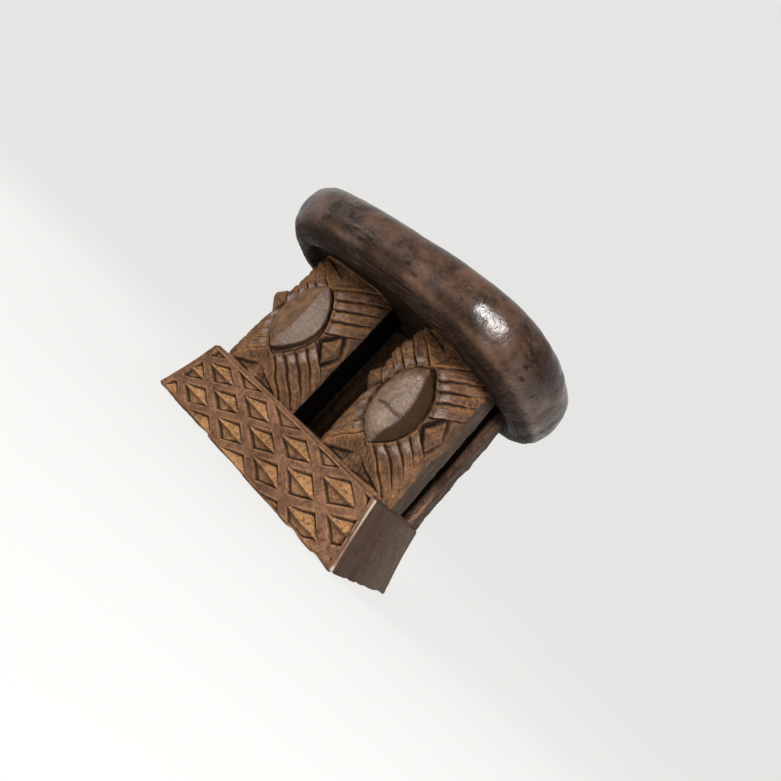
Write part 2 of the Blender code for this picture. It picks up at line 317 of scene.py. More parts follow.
def make_plinth(material):
    """The plinth's loops pushed along their normals by a relief in millimetres: less the
    lattice's depth on both long faces, plus adze marks, less chips along the foot, plus a
    slight belly in front. The foot's edge then rises in places, where it is worn."""
    rings = plinth_rings()
    x, y, z = (rings[..., axis] * 1000 for axis in range(3))
    normal = outward(rings)
    front = ease(-normal[..., 1], 0.75, 0.95)
    back = ease(normal[..., 1], 0.75, 0.95)
    carved = front + back
    wander = np.stack([drift(rings, 0.028, 3), drift(rings, 0.028, 4)], axis=-1)
    half = (PLINTH_HALF_WIDTH - PLINTH_END_BATTER * rings[..., 2] / PLINTH_HEIGHT) * 1000
    along = x * np.sign(-y)
    near_end, far_end = LATTICE_END_MARGINS
    ends = np.minimum(half - near_end - along, half - far_end + along)
    rim = LATTICE_TOP_LINE - z + 0.8 * drift(rings, 0.02, 8)
    wandered = (along + 0.7 * wander[..., 0], z + 0.5 * wander[..., 1])
    depth, inside, above_hip = lattice(*wandered, np.minimum(ends, rim))
    adze = 0.28 * drift(rings * (1.0, 1.0, 0.7), 0.012, 5) + 0.12 * drift(rings, 0.004, 6)
    straps = 0.25 * ease(-inside, 0.0, 2.5)
    chips = ease(drift(rings, 0.007, 9), 0.15, 0.6) * (1 - ease(z, 0.0, 3.2))
    bulge = 0.9 * np.sin(np.pi * np.clip(x / 180 + 0.5, 0, 1)) * (1 - ease(z, 0.0, 14.0))
    relief = -depth * carved + straps * carved + adze - 1.1 * chips + bulge * front
    rings = rings + normal * relief[..., None] / 1000
    worn_up = 0.8 * drift(rings * (1.0, 1.0, 0.0) + 0.01, 0.019, 11)
    worn_up = np.clip(worn_up, 0.0, None) * (1 - ease(z, 0.0, 9.0)) * carved
    rings[..., 2] = np.maximum(rings[..., 2] + worn_up / 1000, 0.0)
    height = relief * carved
    proud = height - softened(height, 3)
    # Upper facets of each diamond face the light and are painted paler: painted highlight.
    upper = ease(above_hip, -0.03, 0.05)
    in_diamond = ease(inside, 0.0, 0.7) * carved
    # Painted shade on the lower facet next to the hip.
    shaded = in_diamond * 0.62 * ease(-above_hip, 0.0, 0.03) * (1 - ease(-above_hip, 0.04, 0.34))
    edge_band = (1 - ease(42.6 - z, -1.0, 2.5)) * carved
    corner = (1 - ease(np.abs(np.abs(x) - half), 0.4, 1.6)) * ease(np.abs(normal[..., 1]), 0.2, 0.5)
    marks = {
        "cut": in_diamond * (0.50 + 0.50 * upper),
        "plain": 1 - ease(np.abs(normal[..., 1]), 0.35, 0.8),
        "grey": ease(y, -20.0, 28.0),
        # Proud straps, the top band and corners painted paler: partly wear, partly painted highlight.
        "wear_and_highlight": np.clip(ease(proud, 0.10, 0.45) * 0.8 + 0.5 * edge_band + corner, 0.0, 1.0),
        # Painted shade in the creases and on the lower facets.
        "hollow": np.clip(ease(-proud, 0.10, 0.45) * 0.95 + shaded, 0.0, 1.0) * carved,
        # Right corners rubbed paler than left ones: wear, with painted highlight on the right.
        "rubbed": np.clip(corner * (0.5 + 0.9 * (x > 0)) + 0.35 * edge_band, 0.0, 1.0),
        "gap_shade": 0 * z,
        # Painted glint, near white, on the front right corner.
        "corner_glint": corner * (x > 0) * (y < 0) * ease(drift(rings, 0.006, 12), -0.25, 0.25),
    }
    return closed_surface("plinth_carving", rings, marks, material)


plinth_wood = carved_wood(
    "plinth_wood",
    body=(0.196, 0.094, 0.051),
    shade=(0.088, 0.042, 0.024),
    cut=(0.400, 0.205, 0.086),
    plain=(0.064, 0.036, 0.022),
    plain_grey=(0.080, 0.056, 0.041),
    rub=(0.215, 0.122, 0.078),
)
plinth = make_plinth(plinth_wood)
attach(plinth, "root")
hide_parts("plinth")


# ---------------------------------------------------------------- legs
# Four legs of the same log, left standing when the gaps between them were cut out. Each
# outer face is arched and chip-carved with a star: an almond hollow in the middle, four
# ribbed arms to the corners, and cut facets between the arms. The other sides are plain.
LEG_FOOT = 0.0436
LEG_TOP = 0.1376
LEG_HEIGHT = 0.0925
LEG_MIDDLE = 0.09055
LEG_LEAN = 0.0026
LEG_OUTSIDE = 0.0791
LEG_INSIDES = {-1: -0.0116, 1: 0.0200}
FACE_APEX = {-1: -0.04285, 1: 0.03725}
FACE_ARCH = {-1: 0.0196, 1: 0.0045}
FACE_POWER = 2.5
INNER_WALL = {-1: -0.00145, 1: 0.02275}
FACE_STEPS = 230
SIDE_STEPS = 30
WALL_STEPS = 46
LEG_RISE_STEPS = 230
UPPER_RIBS = (-9.0, 2.0, 10.0, 18.5, 27.0)
LOWER_RIBS = (-12.5, -3.5, 5.0, 14.0, 23.0)
RIB_SLOPES = (0.62, 0.80)
RIB_SPACINGS = (8.6 * 0.85, 8.9 * 0.78)
RIB_CUT = 2.7
RIB_TILT = 0.9
CHIP_REACH = 5.5
CHIP_RIM = 48.0
CHEVRON_LINE = 1.30
CHEVRON_HALF_WIDTH = 0.34
CHEVRON_CUT = 4.2
HOLLOW_HALF_LENGTH = 28.5
HOLLOW_HALF_WIDTH = 18.2
HOLLOW_DEPTH = 3.0


def face_outline(side, face):
    """The face's arch as a superellipse across the leg, spaced evenly along its length."""
    low, high = sorted((LEG_INSIDES[side], side * LEG_OUTSIDE))
    turn = np.linspace(math.pi, 0.0, 4001)
    spread = np.sign(np.cos(turn)) * np.abs(np.cos(turn)) ** (2 / FACE_POWER)
    bow = np.abs(np.sin(turn)) ** (2 / FACE_POWER)
    x = (low + high) / 2 + spread * (high - low) / 2
    y = FACE_APEX[face] - face * FACE_ARCH[face] * (1 - bow)
    length = np.concatenate([[0.0], np.cumsum(np.hypot(np.diff(x), np.diff(y)))])
    even = np.linspace(0.0, length[-1], FACE_STEPS)
    return np.interp(even, length, x), np.interp(even, length, y), even - length[-1] / 2


def leg_loop(side, face):
    """Points round one leg, anticlockwise from above, and for each how far round it lies from
    the middle of the carved face. Two passes of a 1-2-1 mean take the sharpness off corners."""
    x, y, reach = face_outline(side, face)
    wall = INNER_WALL[face]
    down = np.linspace(y[-1], wall, SIDE_STEPS + 1)[1:]
    back_x = np.linspace(x[-1], x[0], WALL_STEPS + 1)[1:]
    up = np.linspace(wall, y[0], SIDE_STEPS + 1)[1:-1]
    loop_x = np.concatenate([x, down * 0 + x[-1], back_x, up * 0 + x[0]])
    loop_y = np.concatenate([y, down, back_x * 0 + wall, up])
    beyond = reach[-1] + np.abs(down - y[-1])
    back = np.full(len(back_x), beyond[-1] + 0.01)
    before = -(reach[-1] + np.abs(up - y[0]))
    round_the_leg = np.concatenate([reach, beyond, back, before])
    if face > 0:
        loop_x, loop_y, round_the_leg = loop_x[::-1], loop_y[::-1], round_the_leg[::-1]
    for _ in range(2):
        loop_x = (np.roll(loop_x, 1) + 2 * loop_x + np.roll(loop_x, -1)) / 4
        loop_y = (np.roll(loop_y, 1) + 2 * loop_y + np.roll(loop_y, -1)) / 4
    return loop_x, loop_y, round_the_leg * 1000


def star(p, q, edge, way):
    """Relief of the carved star in millimetres, and its marks, from p across and q up the face.
    g is the distance out of the almond hollow. c = |q| − slope·|p|, made wavy by two sines,
    counts across the ribs of an arm: a rib line lies at each of the listed values, cut as a V
    that is steep on its upper side. Outside the ribs lie a sunken three-faced chip with stroke
    marks (above and below) and a hipped kite inside a chevron groove (at either side). All of
    it fades out within the face's edge and a narrow rim above and below."""
    P = np.abs(p)
    Q = np.abs(q)
    upper = q > 0
    slope = np.where(upper, *RIB_SLOPES)
    c = Q - slope * P
    narrow = np.clip(1 - (q / HOLLOW_HALF_LENGTH) ** 2, 0.0, 1.0) ** 0.75
    from_middle = np.abs(p - 2.2 * way) + 0.5 * np.sin(0.75 * q) * (p * way < 0)
    beyond_tip = from_middle + 0.9 * (Q - HOLLOW_HALF_LENGTH)
    g = 0.86 * np.where(narrow > 0, from_middle - HOLLOW_HALF_WIDTH * narrow, beyond_tip)
    c = c + 0.20 * np.sin(0.55 * p + 0.3 * q) + 0.30 * np.sin(0.21 * p - 0.33 * q + 1.0)
    steps = np.arange(5.0)
    rib = np.where(upper, np.interp(c, UPPER_RIBS, steps), np.interp(c, LOWER_RIBS, steps))
    line = np.round(rib)
    past = (line - rib) * np.where(upper, *RIB_SPACINGS)
    cut = np.clip(np.where(past < 0, 1 + past / 0.7, 1 - past / 3.4), 0.0, 1.0)
    in_arm = ease(rib, 0.02, 0.1) * (1 - ease(rib, 3.9, 3.98))
    tilt = RIB_TILT * (rib - np.floor(rib)) * in_arm
    ribs = 0.8 * in_arm - tilt - RIB_CUT * cut * np.where((rib > 3.99) & (past < -1), 0, 1)
    # lit is the lower wall of each V, which faces the light: painted highlight.
    lit = np.clip(1 - np.abs(past - 1.9) / 1.5, 0, 1) * in_arm
    ribs = ribs + 0.5 * np.clip(1 - np.abs(past - 3.2) / 1.0, 0.0, 1.0) * in_arm

    top_low = np.where(upper, UPPER_RIBS[4], LOWER_RIBS[4])
    off_arm = np.clip(c - top_low, 0.0, None) * 0.8
    off_rim = np.clip(CHIP_RIM - Q, 0.0, None) * 0.9
    pit = np.minimum(np.minimum(off_arm, off_rim), CHIP_REACH)
    chip = 0.5 - 0.80 * pit - 0.5 * np.clip(P - 1.0, 0.0, 6.0) * (off_rim < off_arm)
    strokes = np.clip(1 - np.abs(np.mod(p + 0.35 * q, 3.1) - 1.5) / 0.8, 0.0, 1.0)
    chip = chip - 0.45 * strokes * ease(pit, 0.6, 1.6)
    in_chip = ease(c - top_low, 0.0, 0.8)

    side_low = np.where(upper, UPPER_RIBS[0], LOWER_RIBS[0])
    in_side = ease(side_low - c, 0.0, 0.8)
    far = p * way < 0
    kite = np.where(far, np.abs(P - 36.0) / 13.0 + np.abs(q - 4.5) / 11.5,
                    np.abs(P - 31.5) / 7.6 + np.abs(q + 1.2) / 10.4)
    far_rise = 9.0 if way > 0 else 4.5
    kite_rise = np.where(far, far_rise, 6.5) * np.clip(1 - kite, 0.0, 0.75) - 0.5
    groove = np.clip(1 - np.abs(kite - CHEVRON_LINE) / CHEVRON_HALF_WIDTH, 0.0, 1.0)
    chevron = -0.6 - CHEVRON_CUT * groove
    outer = chevron + 1.5 * ease(kite, 1.5, 1.9)
    facets = np.where(kite < 1.0, kite_rise, np.minimum(outer, 0.2))
    notch = groove * in_side

    outside = ribs * (1 - in_chip) * (1 - in_side) + chip * in_chip + facets * in_side
    outside = outside + 0.5 * (1 - ease(g, 0.0, 9.0))
    rim = 1.3 * np.clip(1 - np.abs(g - 0.3) / 1.5, 0.0, 1.0)
    hollow = -HOLLOW_DEPTH * ease(-g, -0.2, 2.6)
    into = ease(-g, -0.3, 0.5)
    relief = outside * (1 - into) + hollow * into + rim
    keep = ease(edge, 0.0, 2.6)
    fade = 1 - ease(Q, 45.2, 46.4)
    relief = relief * keep * fade
    flat = in_arm * (1 - cut) * (1 - into) * (1 - in_chip) * (1 - in_side)
    rubbed = flat * ease(g, 1.5, 3.5) * (1 - ease(g, 6.0, 9.5)) * ease(past, -4.0, -3.0)
    # Paler: lit rib walls and upper kite facets (painted highlight) and fresh-cut chips.
    fresh_and_lit = np.maximum(lit * (1 - into), 0.35 * in_side * (kite < 1.0) * (q > -1.0))
    # Upper chips painted paler still: painted light against the top's shadow.
    fresh_and_lit = np.maximum(fresh_and_lit, (0.60 + 0.35 * upper) * in_chip * (1 - 0.5 * ease(pit, 0.4, 3.0)))
    # Painted shade in the lower chips, the chevron grooves and round the edge of the hollow.
    painted_shade = np.maximum(0.22 * in_chip * (1 - upper) * ease(pit, 3.0, 5.2), 0.95 * notch)
    painted_shade = np.maximum(painted_shade, 0.35 * into * (1 - ease(-g, 1.0, 4.0)))
    marks = {"cut": fresh_and_lit * keep, "rubbed": rubbed * keep, "painted_shade": painted_shade * keep, "keep": keep}
    return relief, marks


def make_leg(name, side, face, seed, side_room, swell_out, material):
    """One leg's loops, leaning in by a share of their height, pushed along their normals by a
    relief in millimetres: the star up to the face's edge, adze marks, gouges and scallops on
    the plain sides, and a swelling beside the upper arm."""
    loop_x, loop_y, p = leg_loop(side, face)
    rise = np.linspace(0.0, 1.0, LEG_RISE_STEPS)[:, None]
    z = LEG_FOOT + (LEG_TOP - LEG_FOOT) * rise
    width = side * LEG_OUTSIDE - LEG_INSIDES[side]
    outer = np.clip((loop_x - LEG_INSIDES[side]) / width, 0, 1)
    lean = LEG_LEAN * np.clip((z - LEG_FOOT) / LEG_HEIGHT, 0.0, 1.0)
    x = loop_x[None, :] - side * lean * outer[None, :]
    rings = np.stack([x, np.broadcast_to(loop_y, x.shape), np.broadcast_to(z, x.shape)], axis=-1)
    normal = outward(rings)
    q = (rings[..., 2] - LEG_MIDDLE) * 1000
    p = np.broadcast_to(p, q.shape)
    arc = (np.abs(p)[:, :FACE_STEPS] if face < 0 else np.abs(p)[:, -FACE_STEPS:]).max()
    way = side * (1 if face < 0 else -1)
    outer_side = ease(p * way, 0.0, 10.0)
    near = 1.0 - ease(np.abs(q - 4.0), 4.0, 16.0)
    room = arc + 0.2 + outer_side * (side_room + 6.0 * near)
    wobble = drift(rings, 0.016, seed)
    edge = room - np.abs(p) + 0.8 * wobble
    shift_p = 1.1 * drift(rings, 0.018, seed + 1) + 0.30 * drift(rings, 0.0055, seed + 8)
    shift_q = 1.1 * drift(rings, 0.018, seed + 2) + 0.30 * drift(rings, 0.0055, seed + 9)
    relief, marks = star(p + shift_p, q + shift_q, edge, 1 if face < 0 else -1)
    adze = 0.34 * drift(rings * (1.0, 1.0, 0.6), 0.010, seed + 3)
    adze = adze + 0.24 * drift(rings, 0.0035, seed + 4) + 0.14 * drift(rings, 0.0016, seed + 6)
    plain = 1 - ease(edge, -0.5, 0.8)
    gouging = 0.8 if face > 0 else 0.3
    gouges = gouging * drift(rings * (1.0, 1.0, 0.10), 0.0045, seed + 5) * plain
    scallops = 1.4 * drift(rings, 0.014, seed + 7) * plain * (face > 0)
    swell = ease(-p * way, 16.0, 30.0) * np.exp(-(((q - 24.0) / 13.0) ** 2)) * swell_out
    height = relief + adze + gouges + scallops + swell
    proud = relief - softened(relief, 4)
    sunk = softened(relief, 16) - relief
    streaky = ease(gouges - softened(gouges, 3), 0.05, 0.20)
    rings = rings + normal * height[..., None] / 1000
    outer_wall = ease(np.abs(normal[..., 0]), 0.6, 0.9) * (loop_x * side > 0.05)[None, :]
    inner_side = ease(-p * way, arc - 0.6, arc + 0.6) * ease(-normal[..., 0] * side, 0.5, 0.8)
    inner_wall = ease(-normal[..., 1] * face, 0.6, 0.9)
    deep_in = 1 - ease(side * rings[..., 0] * 1000, 71.0, 73.0)
    # Painted shade, near black, on the walls inside the gaps between the legs.
    if face < 0:
        gap_shade = np.maximum(0.985 * inner_side, 0.8 * inner_wall)
    else:
        gap_shade = 0.97 * inner_wall * deep_in * (side > 0)
    # The back left leg's inner wall is painted paler: painted light where light reaches the gap.
    lit_wall = inner_wall * (face > 0) * (side < 0)
    # Outer strip of the back right leg's inner wall: gouges with paler streaks, partly painted
    # highlight.
    split_strip = inner_wall * (face > 0) * (side > 0) * (1 - deep_in)
    plain = plain * (1 - lit_wall) * (1 - 0.8 * split_strip)
    # Painted shade in creases and sunk parts, less of it towards the top.
    shadowed = ease(-proud, 0.20, 0.90) + 0.28 * ease(sunk, 0.3, 2.2)
    shadowed = shadowed * (1 - 0.6 * ease(q, 24.0, 34.0))
    # Proud edges and gouge ridges painted paler: partly wear, partly painted highlight.
    wear_and_highlight = np.maximum(0.6 * ease(proud, 0.2, 0.7) * marks["keep"], 0.7 * streaky * (face > 0))
    kept = {
        "gap_shade": gap_shade,
        "corner_glint": 0 * gap_shade,
        "cut": np.maximum(marks["cut"], 0.45 * lit_wall + 0.8 * split_strip * streaky),
        "rubbed": np.maximum(marks["rubbed"], split_strip * streaky * 0.6),
        "plain": plain,
        "grey": plain * outer_wall * (0.75 if face < 0 else 1.0),
        "wear_and_highlight": wear_and_highlight,
        # Painted shade from creases, chips, grooves and the hollow's edge.
        "hollow": np.clip(shadowed + marks["painted_shade"], 0.0, 1.0) * (1 - plain),
    }
    return closed_surface(name, rings, kept, material)


leg_wood = carved_wood(
    "leg_wood",
    body=(0.146, 0.074, 0.041),
    shade=(0.052, 0.026, 0.015),
    cut=(0.320, 0.152, 0.058),
    plain=(0.048, 0.028, 0.018),
    plain_grey=(0.036, 0.026, 0.020),
    rub=(0.205, 0.150, 0.122),
)
for place, side, face, seed, side_room, swell_out in (
    ("front_left", -1, -1, 20, 0.0, 0.0),
    ("front_right", 1, -1, 40, 5.0, 3.6),
    ("back_left", -1, 1, 60, 0.0, 0.0),
    ("back_right", 1, 1, 80, 0.0, 0.0),
):
    leg = make_leg(f"{place}_leg_carving", side, face, seed, side_room, swell_out, leg_wood)
    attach(leg, "root")
    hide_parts(f"{place}_leg")


# ---------------------------------------------------------------- bosses
# A raised almond in the hollow of each star, left proud when the hollow was cut round it
# and rubbed smooth since. Two are bevelled like a roof with one broad slope; the other two
# are swollen and cracked across.
BOSS_HALF_LENGTH = 0.0265
BOSS_HALF_WIDTH = 0.0150
BOSS_ROOT = 3.6
BOSS_ROUND_STEPS = 260
BOSS_CROWN_STEPS = 44
BOSS_PLACES = {
    "front_left": (0.0005, 0.0020),
    "front_right": (0.0022, -0.0015),
    "back_left": (-0.0010, 0.0005),
    "back_right": (0.0010, -0.0005),
}
BOSS_BROWN = (0.150, 0.084, 0.045)
BOSS_SHADE = (0.064, 0.036, 0.021)
BOSS_GRAIN = (0.085, 0.052, 0.034)
# Painted sheen: grey on the bevel that faces the light.
BOSS_BEVEL_SHEEN = (0.150, 0.112, 0.092)
BOSS_PORES = (0.05, 0.03, 0.02)
# Painted shade, dark brown, for the foot of the wall and the steep flank.
BOSS_WALL_SHADE = (0.028, 0.015, 0.009)
BOSS_SCRATCH = (0.030, 0.017, 0.011)
BOSS_CRACK = (0.020, 0.010, 0.006)


def boss_wood():
    """Wood rubbed smooth and grey-brown, with fine upright grain, pores and scratches, a painted
    grey sheen on the bevel, and painted shade, dark brown, on the rim and on the steep flank,
    which is also less polished."""
    material = bpy.data.materials.new("boss_wood")
    material.use_nodes = True
    tree = material.node_tree
    surface = tree.nodes["Principled BSDF"]
    place = add(tree, "ShaderNodeTexCoord", {}).outputs["Object"]
    upright = {"Vector": place, "Scale": (1.0, 1.0, 0.12)}
    along = add(tree, "ShaderNodeMapping", upright).outputs[0]
    clouds = mottle(tree, place, 170.0, 6.0, 0.65)
    grain = mottle(tree, along, 700.0, 4.0, 0.6)
    specks = mottle(tree, place, 1500.0, 3.0, 0.65)
    colour = blend(tree, between(tree, clouds, 0.34, 0.66), BOSS_BROWN, BOSS_SHADE)
    colour = blend(tree, times(tree, between(tree, grain, 0.45, 0.7), 0.5), colour, BOSS_GRAIN)
    # Painted sheen, grey, on the bevel.
    colour = blend(tree, times(tree, mark(tree, "grey"), 0.8), colour, BOSS_BEVEL_SHEEN)
    colour = blend(tree, times(tree, between(tree, specks, 0.6, 0.75), 0.6), colour, BOSS_PORES)
    # Painted shade, dark brown, on the rim and the steep flank.
    colour = blend(tree, mark(tree, "wall"), colour, BOSS_WALL_SHADE)
    fine_lines = times(tree, veins(tree, place, 95.0, 0.016), between(tree, clouds, 0.40, 0.56))
    colour = blend(tree, times(tree, fine_lines, 0.7), colour, BOSS_SCRATCH)
    colour = blend(tree, mark(tree, "crack"), colour, BOSS_CRACK)
    tree.links.new(colour, surface.inputs["Base Color"])
    dull = between(tree, clouds, 0.35, 0.65, 0.15, 0.40)
    tree.links.new(dull, surface.inputs["Roughness"])
    shine = between(tree, mark(tree, "gloss"), 0.0, 1.0, 0.02, 0.85)
    tree.links.new(shine, surface.inputs["Specular IOR Level"])
    fine = add(tree, "ShaderNodeBump", {"Height": grain, "Strength": 0.8, "Distance": 0.00035})
    broad = {"Height": clouds, "Strength": 1.0, "Distance": 0.0024, "Normal": fine.outputs[0]}
    tree.links.new(add(tree, "ShaderNodeBump", broad).outputs[0], surface.inputs["Normal"])
    return material


def roofed(across, along):
    """Rise of a bevelled boss in millimetres: the lower of a broad slope and a short steep
    one that meet in a line right of the middle."""
    broad = 7.4 + 0.07 * (across - 3.0) - 0.0012 * along**2
    steep = 7.4 - 0.60 * (across - 4.5 + 0.006 * along**2)
    return np.minimum(broad, steep)


def swollen(across, along):
    """Rise of a cracked boss in millimetres: two domes, the larger above, that meet at a
    jagged line, and a steep slope down the right side, joined to them by a smooth minimum
    (minus the log of the sum of exponentials). The crack is a V cut along the line."""
    line = along + 5.0 - 0.05 * across + 0.35 * np.sin(across * 0.6) + 0.12 * np.sin(across * 2.3)
    above = 9.9 - 0.032 * (across + 4.5) ** 2 - 0.0060 * (along - 5.0) ** 2
    below = 9.5 - 0.036 * (across + 4.5) ** 2 - 0.0160 * (along + 8.0) ** 2
    steep = 8.6 - 1.50 * (across - 7.0 + 0.010 * along**2)
    domes = np.where(line > 0, above, below)
    rise = -1.1 * np.logaddexp(-domes / 1.1, -steep / 1.1)
    crack = np.clip(1 - np.abs(line) / 1.1, 0.0, 1.0) * ease(across, -11.0, -6.0)
    crack = crack * (1 - ease(across, 7.0, 9.5))
    return rise - 1.5 * crack


def make_boss(name, side, face, offset, shape, seed, material):
    """Loops of an almond (half width times sin² of the turn, half length times its cosine):
    up the wall from the hollow, over a worn edge, then shrinking to the middle."""
    turn = np.linspace(0.0, 2 * math.pi, BOSS_ROUND_STEPS, endpoint=False)
    along_rim = np.cos(turn)
    across_rim = np.sign(np.sin(turn)) * np.abs(np.sin(turn)) ** 1.7
    sink = np.array([1.015, 1.012, 1.01, 1.0, 0.992, 0.985, 0.975, 0.96])
    inward = np.linspace(0.94, 0.02, BOSS_CROWN_STEPS)
    shrink = np.concatenate([sink, inward])[:, None]
    wall_climb = np.array([0.0, 0.2, 0.5, 0.8, 0.92, 0.97, 0.99, 1.0])
    climb = np.concatenate([wall_climb, np.ones(BOSS_CROWN_STEPS)])[:, None]
    across = BOSS_HALF_WIDTH * 1000 * shrink * across_rim
    along = BOSS_HALF_LENGTH * 1000 * shrink * along_rim
    rim_fall = 1.6 * ease(np.broadcast_to(shrink, across.shape), 0.75, 1.0)
    tip_fall = 1.4 * ease(np.abs(along), 17.0, 26.0)
    rise = shape(across, along) - rim_fall - tip_fall
    low, high = sorted((LEG_INSIDES[side], side * LEG_OUTSIDE))
    z = LEG_MIDDLE + offset[1] + along / 1000
    lean = side * LEG_LEAN * (z - LEG_FOOT) / LEG_HEIGHT
    middle = (low + high - lean) / 2 + offset[0]
    x = middle + across / 1000
    share = np.clip(np.abs(2 * x - low - high + lean) / (high - low), 0.0, 1.0)
    arch = FACE_ARCH[face] * (1 - (1 - share**FACE_POWER) ** (1 / FACE_POWER))
    base = FACE_APEX[face] - face * arch
    place = np.stack([x, base, z], axis=-1)
    adze = 0.45 * drift(place, 0.008, seed) + 0.16 * drift(place, 0.003, seed + 1)
    lift = -BOSS_ROOT + (rise + BOSS_ROOT + adze) * climb
    y = base + face * lift / 1000
    rings = np.stack([x, y, z], axis=-1)
    proud = rise - softened(rise, 2)
    if face < 0:
        rings, across, along, proud = (grid[:, ::-1] for grid in (rings, across, along, proud))
    # Painted shade on the rim and the swollen boss's steep flank, which is also less polished.
    wall = np.broadcast_to(1 - ease(climb, 0.75, 0.97), across.shape)
    flank = ease(across + 0.010 * along**2, 6.8, 8.6) * (shape is swollen)
    polish = 1.0 if shape is swollen else 0.5 * ease(across, 3.6, 5.4)
    # The roofed boss's bevel is painted grey as a painted sheen.
    bevel_sheen = 0.7 if shape is roofed else 0.0
    marks = {
        "wall": np.maximum(wall * 0.85, 0.9 * flank),
        "gloss": (1 - wall) * (1 - flank) * polish,
        "grey": ease(across + 0.006 * along**2, 3.6, 5.4) * (1 - wall) * bevel_sheen,
        "crack": ease(-proud, 0.12, 0.5) * (1 - wall),
    }
    return closed_surface(name, rings, marks, material)


rubbed_wood = boss_wood()
for place, side, face, shape, seed in (
    ("front_left", -1, -1, roofed, 101),
    ("front_right", 1, -1, swollen, 111),
    ("back_left", -1, 1, swollen, 121),
    ("back_right", 1, 1, roofed, 131),
):
    boss = make_boss(f"{place}_boss_carving", side, face, BOSS_PLACES[place], shape, seed, rubbed_wood)
    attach(boss, "root")
    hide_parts(f"{place}_boss")


# ---------------------------------------------------------------- top
# The slab that carries the head, still part of the same log. Its thick rim is rounded and
# polished dark by handling, an arris runs under it where the rim meets the hewn underside,
# and its upper side is dished and a little higher at both ends.
UNDERSIDE = 0.1371
FIELD_HALF_LENGTH = 0.0800
FIELD_HALF_DEPTH = 0.07235
COVE_WIDTH = 0.0060
RIM_UNDERCUT = 0.0184
RIM_ABOVE_INSET = 0.0106
RIM_ABOVE = 0.0122
RIM_BELOW = 0.0211
WIDEST_LINE = 0.1532
SADDLE_RISE = 0.0056
SADDLE_SAG = 0.0062
DISH = 0.0030
TOP_TILT = 0.0266
OVAL_POWER = 2.75
OVAL_STEPS = 620
ARRIS_TURN = -0.66
ARRIS_HALF_WIDTH = 0.11
ARRIS_HEIGHT = 0.55
PIT_DEPTH = 0.35
TOP_HALF_LENGTH = FIELD_HALF_LENGTH + COVE_WIDTH + RIM_UNDERCUT
TOP_HALF_DEPTH = FIELD_HALF_DEPTH + COVE_WIDTH + RIM_UNDERCUT
PATINA_BROWN = (0.074, 0.038, 0.024)
PATINA_BLACK = (0.013, 0.008, 0.006)
PATINA_RED = (0.115, 0.052, 0.026)
PATINA_BITS = (0.110, 0.068, 0.042)
PATINA_GREY = (0.118, 0.092, 0.074)
UNDER_DARK = (0.010, 0.006, 0.004)
UNDER_BROWN = (0.042, 0.024, 0.015)
ARRIS_BROWN = (0.170, 0.078, 0.032)
TOP_NICKS = (0.010, 0.006, 0.004)
TOP_SCUFFS = (0.150, 0.090, 0.055)
# Painted shade for the creases, both ends and below the widest line.
TOP_HOLLOW_SHADE = (0.012, 0.007, 0.005)


def top_rings():
    """Superellipse loops from the middle of the underside, down a cove to the foot of the rim,
    round the rim by two quarter ellipses, and in over the dished upper side. Each loop is bent
    along X by its bend times x², and tilted along Y."""
    turn = np.linspace(0.0, 2 * math.pi, 20001)
    raw_x = np.sign(np.cos(turn)) * np.abs(np.cos(turn)) ** (2 / OVAL_POWER)
    raw_y = np.sign(np.sin(turn)) * np.abs(np.sin(turn)) ** (2 / OVAL_POWER)
    length = np.concatenate([[0.0], np.cumsum(np.hypot(np.diff(raw_x), np.diff(raw_y)))])
    even = np.linspace(0.0, length[-1], OVAL_STEPS, endpoint=False)
    unit_x = np.interp(even, length, raw_x)
    unit_y = np.interp(even, length, raw_y)
    field = np.linspace(0.02, 1.0, 34)
    cove = np.linspace(0.0, 1.0, 11)[1:-1]
    under = np.linspace(math.pi / 2, 0.0, 46)
    over = np.linspace(0.0, math.pi / 2, 34)[1:]
    dish = np.linspace(1.0, 0.02, 40)[1:]
    half_length = np.concatenate([
        FIELD_HALF_LENGTH * field,
        FIELD_HALF_LENGTH + COVE_WIDTH * cove,
        TOP_HALF_LENGTH - RIM_UNDERCUT * (1 - np.cos(under)),
        TOP_HALF_LENGTH - RIM_ABOVE_INSET * (1 - np.cos(over)),
        (TOP_HALF_LENGTH - RIM_ABOVE_INSET) * dish,
    ])
    half_depth = np.concatenate([
        FIELD_HALF_DEPTH * field,
        FIELD_HALF_DEPTH + COVE_WIDTH * cove,
        TOP_HALF_DEPTH - RIM_UNDERCUT * (1 - np.cos(under)),
        TOP_HALF_DEPTH - RIM_ABOVE_INSET * (1 - np.cos(over)),
        (TOP_HALF_DEPTH - RIM_ABOVE_INSET) * dish,
    ])
    lift = np.concatenate([
        0 * field, 0 * cove, -RIM_BELOW * np.sin(under), RIM_ABOVE * np.sin(over),
        RIM_ABOVE - DISH * (1 - dish**2),
    ])
    bend = np.concatenate([
        0 * field, 0 * cove - SADDLE_SAG, -SADDLE_SAG * np.sin(under),
        SADDLE_RISE * np.sin(over), 0 * dish + SADDLE_RISE,
    ])
    x = half_length[:, None] * unit_x
    y = half_depth[:, None] * unit_y
    z = WIDEST_LINE + lift[:, None] + bend[:, None] * (x / TOP_HALF_LENGTH) ** 2 + TOP_TILT * y
    fall = np.concatenate([0 * field, (1 - np.cos(math.pi * cove)) / 2])[:, None]
    start = len(fall)
    foot = z[:start] * 0 + WIDEST_LINE - RIM_BELOW
    foot = foot - SADDLE_SAG * (x[:start] / TOP_HALF_LENGTH) ** 2 + TOP_TILT * y[:start]
    z[:start] = UNDERSIDE + (foot - UNDERSIDE) * fall
    turned = np.concatenate([0 * field - 2.2, 0 * cove - 1.8, -under, over, 0 * dish + 1.8])
    return np.stack([x, y, z], axis=-1), np.broadcast_to(turned[:, None], x.shape)


